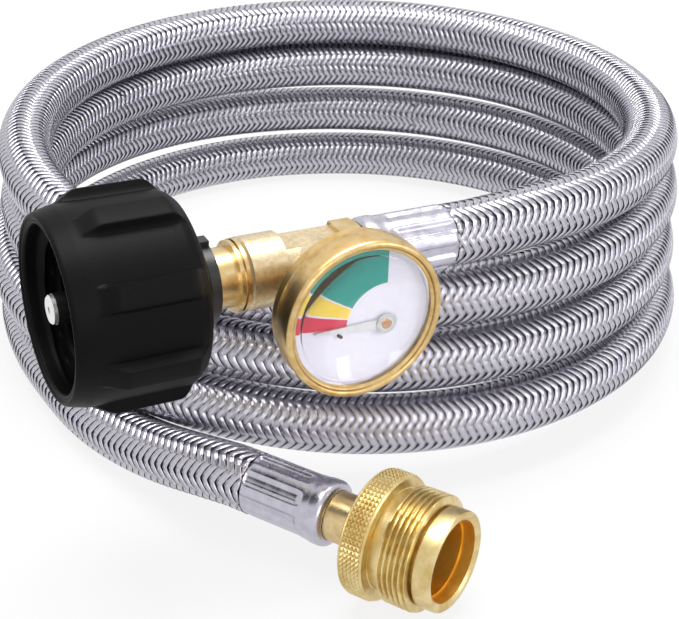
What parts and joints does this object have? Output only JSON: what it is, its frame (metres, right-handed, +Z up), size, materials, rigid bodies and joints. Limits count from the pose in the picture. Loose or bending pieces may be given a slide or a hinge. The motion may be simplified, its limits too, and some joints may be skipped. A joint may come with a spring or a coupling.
{
  "type": "braided propane extension hose",
  "caption": "Coiled steel-braided propane hose with crimped ends, a tee carrying a dial gauge, a cylinder coupling nut at one end and a knurled threaded outlet at the other.",
  "frame": {"origin": "on the table, at the centre of the box round the two end fittings; the coil of hose lies behind it", "axes": "+X to the right and +Y away from the viewer along the table, +Z up"},
  "size_m": [0.1904, 0.2402, 0.0871],
  "materials": {
    "braid": "woven stainless wire",
    "hose_rubber": "moulded",
    "ferrule_steel": "polished, crimped",
    "brass": "machined and forged",
    "movement_brass": "stamped",
    "bronze": "drawn tube",
    "spring_steel": "drawn wire",
    "poppet_plastic": "moulded",
    "black_plastic": "moulded, semi-matt",
    "nose_metal": "turned",
    "dial_white": "printed white enamel",
    "pointer_metal": "bright",
    "stop_brown": "dark",
    "spacer_metal": "bright",
    "lens": "clear",
    "bezel_gold": "gold-coloured plating",
    "seal_rubber": "moulded"
  },
  "bodies": {
    "hose": {"hose_top_turn": "braid", "hose_coil": "braid", "hose_outlet_run": "braid", "hose_tail_inlet": "hose_rubber", "ferrule_inlet": "ferrule_steel", "hose_insert_inlet": "brass", "tee_body": "brass", "inlet_nipple": "brass", "check_guide": "brass", "nose_sleeve": "black_plastic", "nose_tip": "nose_metal", "gauge_socket": "brass", "gauge_case": "bezel_gold", "bourdon_tube": "bronze", "movement_back_plate": "movement_brass", "movement_front_plate": "movement_brass", "movement_pillars": "movement_brass", "movement_screws": "spring_steel", "dial_plate": "dial_white", "stop_pin": "stop_brown", "dial_spacer": "spacer_metal", "gauge_lens": "lens", "bezel_ring": "bezel_gold", "hose_tail_outlet": "hose_rubber", "ferrule_outlet": "ferrule_steel", "hose_insert_outlet": "brass", "stem_o_ring": "seal_rubber", "swivel_clip": "spring_steel"},
    "bushing": {"thermal_bushing": "black_plastic"},
    "nut": {"coupling_nut": "black_plastic"},
    "poppet": {"check_poppet": "poppet_plastic", "check_spring": "spring_steel"},
    "sector": {"sector_gear": "movement_brass", "movement_link": "movement_brass"},
    "pointer": {"pointer_arbor": "spring_steel", "pointer": "pointer_metal"},
    "outlet": {"outlet_fitting": "brass", "outlet_seal": "seal_rubber"}
  },
  "joints": [
    {"name": "nut_float", "type": "slide", "parent": "hose", "child": "bushing", "axis": [0.913, 0.4065, -0.0349], "range_m": [0, 0.002]},
    {"name": "nut_spin", "type": "hinge", "parent": "bushing", "child": "nut", "pos_m": [-0.02596, -0.00308, 0.06488], "axis": [-0.913, -0.4065, 0.0349], "continuous": true},
    {"name": "flow_check", "type": "slide", "parent": "hose", "child": "poppet", "axis": [0.913, 0.4065, -0.0349], "range_m": [0, 0.0018], "stiffness_N_per_m": 100, "springref_m": -0.001},
    {"name": "sector_swing", "type": "hinge", "parent": "hose", "child": "sector", "pos_m": [0.01791, -0.00796, 0.06105], "axis": [0.4067, -0.9135, 0], "range_deg": [0, 11], "stiffness_Nm_per_rad": 0.002, "springref_deg": -2.86},
    {"name": "pointer_swing", "type": "hinge", "parent": "hose", "child": "pointer", "pos_m": [0.0253, -0.00467, 0.06077], "axis": [-0.4067, 0.9135, 0], "range_deg": [0, 88]},
    {"name": "outlet_swivel", "type": "hinge", "parent": "hose", "child": "outlet", "pos_m": [0.02784, -0.01535, 0.01411], "axis": [0.7981, -0.6014, 0.0349], "continuous": true}
  ],
  "couplings": [
    {"joint": "pointer_swing", "follows": "sector_swing", "ratio": 8}
  ]
}
